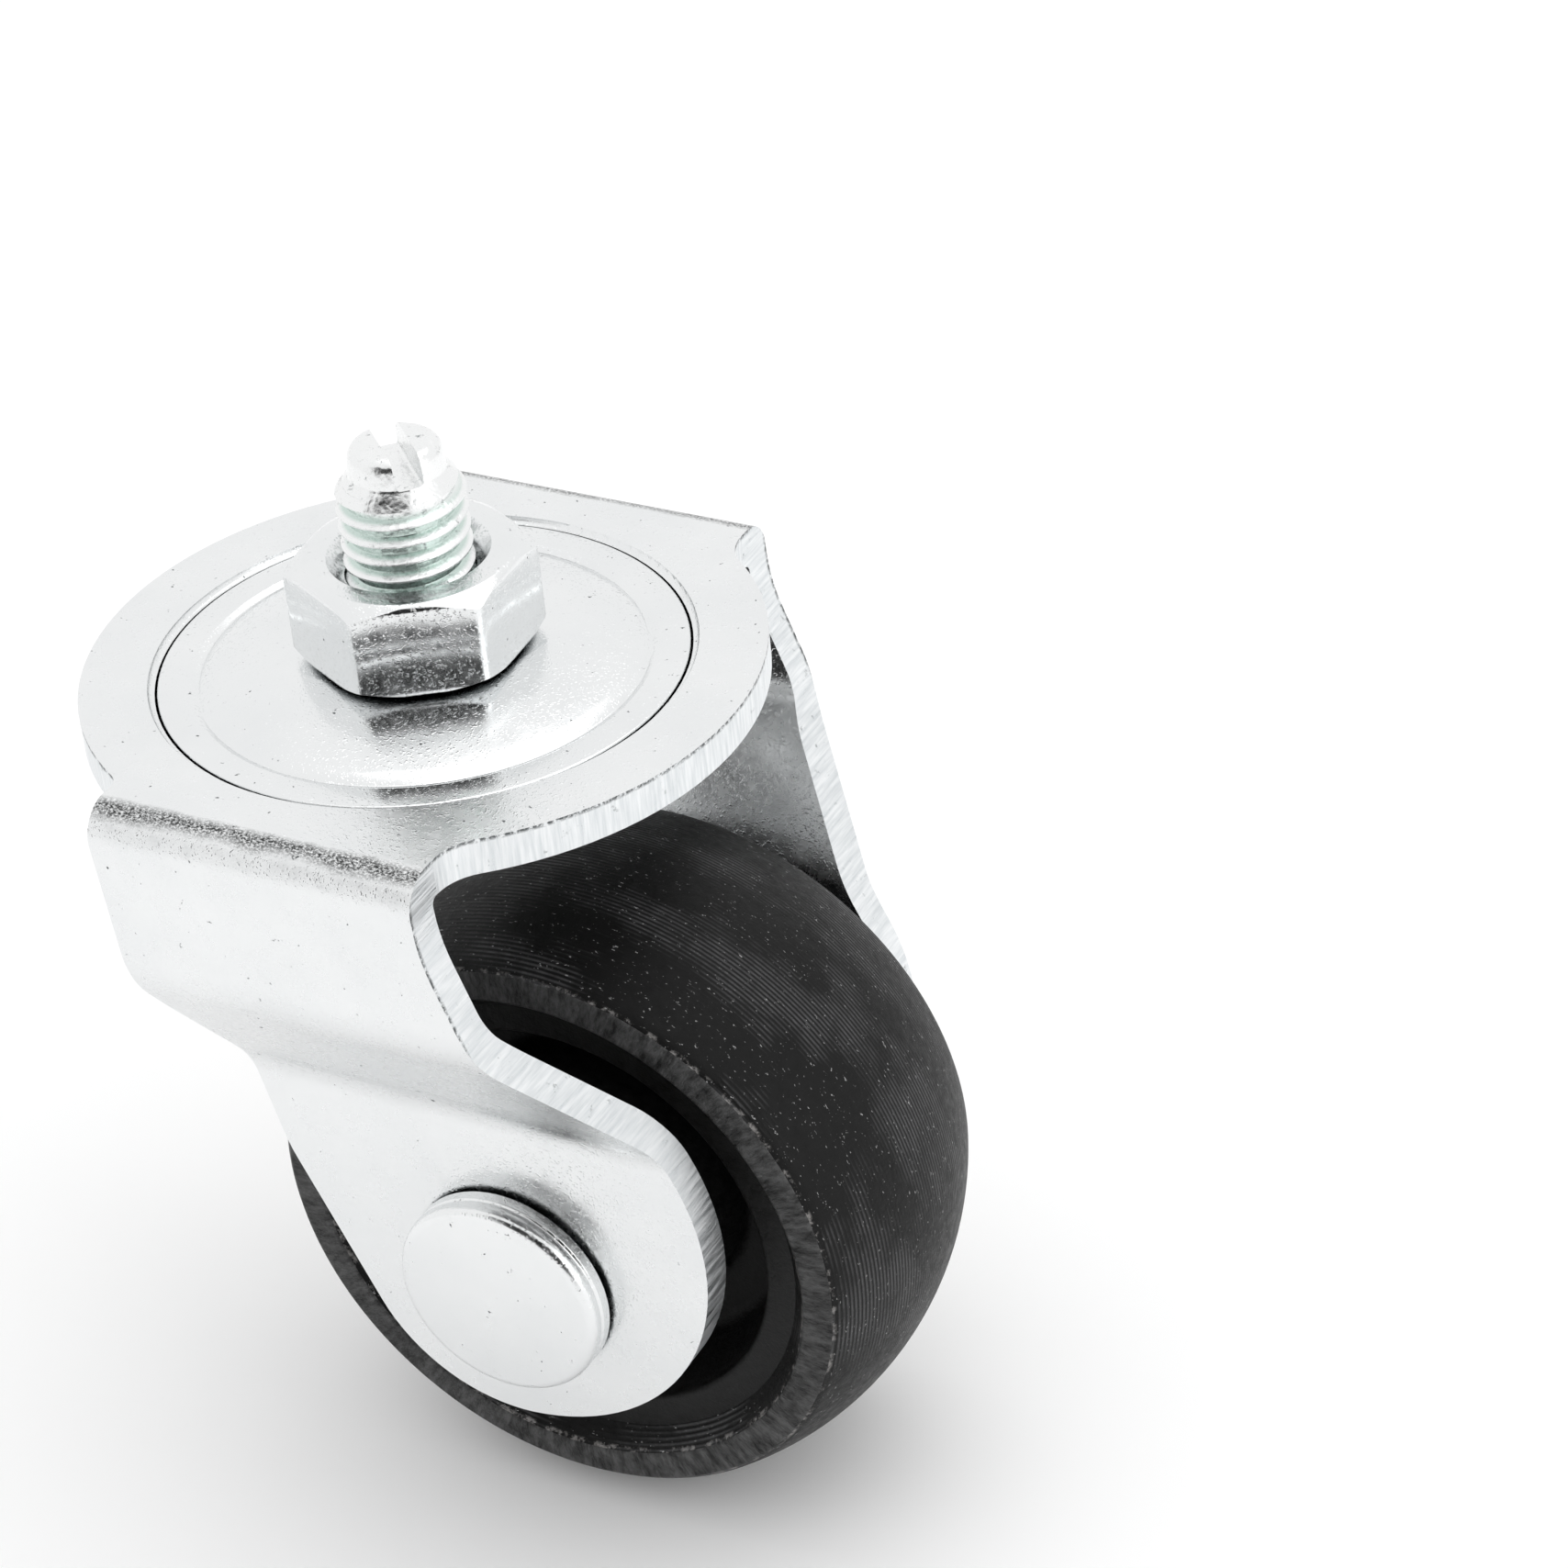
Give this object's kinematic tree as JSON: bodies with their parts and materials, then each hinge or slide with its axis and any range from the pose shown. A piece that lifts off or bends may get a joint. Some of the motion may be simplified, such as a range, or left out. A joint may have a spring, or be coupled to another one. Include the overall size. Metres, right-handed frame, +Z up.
{
  "type": "swivel caster with threaded stem",
  "caption": "Swivel furniture caster: threaded stem with clamp nut, pressed steel fork turning on ball races, and a crowned black wheel that trails behind the stem.",
  "frame": {"origin": "on the stem's axis where its free end starts, 0.2 mm above the clamp nut's top face", "axes": "+Z up the stem, +X the way the wheel trails, +Y along the axle"},
  "size_m": [0.0671, 0.0556, 0.0899],
  "materials": {
    "zinc_plated_steel": "bright zinc plated pressing",
    "bearing_steel": "polished hardened steel",
    "white_nylon": "natural moulded nylon",
    "black_plastic": "moulded black polypropylene",
    "black_tread": "turned black rubber tread"
  },
  "bodies": {
    "stem_group": {"threaded_stem": "zinc_plated_steel", "upper_race_cap": "zinc_plated_steel", "lower_race_cup": "zinc_plated_steel"},
    "nut": {"clamp_nut": "zinc_plated_steel"},
    "upper_ball_ring": {"upper_balls": "bearing_steel"},
    "lower_ball_ring": {"lower_balls": "bearing_steel"},
    "fork_group": {"fork": "zinc_plated_steel", "axle": "zinc_plated_steel", "axle_back_washer": "zinc_plated_steel", "axle_sleeve": "bearing_steel", "front_thrust_washer": "white_nylon", "back_thrust_washer": "white_nylon"},
    "wheel": {"wheel_core": "black_plastic", "tyre": "black_tread", "front_hub_bush": "white_nylon", "back_hub_bush": "white_nylon"}
  },
  "joints": [
    {"name": "fork_swivel", "type": "hinge", "parent": "stem_group", "child": "fork_group", "pos_m": [0, 0, 0], "axis": [0, 0, 1], "continuous": true},
    {"name": "wheel_roll", "type": "hinge", "parent": "fork_group", "child": "wheel", "pos_m": [0.013, 0, -0.0531], "axis": [0, 1, 0], "continuous": true},
    {"name": "upper_ball_orbit", "type": "hinge", "parent": "stem_group", "child": "upper_ball_ring", "pos_m": [0, 0, 0], "axis": [0, 0, 1], "continuous": true},
    {"name": "lower_ball_orbit", "type": "hinge", "parent": "stem_group", "child": "lower_ball_ring", "pos_m": [0, 0, 0], "axis": [0, 0, 1], "continuous": true},
    {"name": "nut_travel", "type": "slide", "parent": "stem_group", "child": "nut", "axis": [0, 0, 1], "range_m": [0, 0.0045]}
  ],
  "couplings": [
    {"joint": "upper_ball_orbit", "follows": "fork_swivel", "ratio": 0.5},
    {"joint": "lower_ball_orbit", "follows": "fork_swivel", "ratio": 0.5}
  ]
}
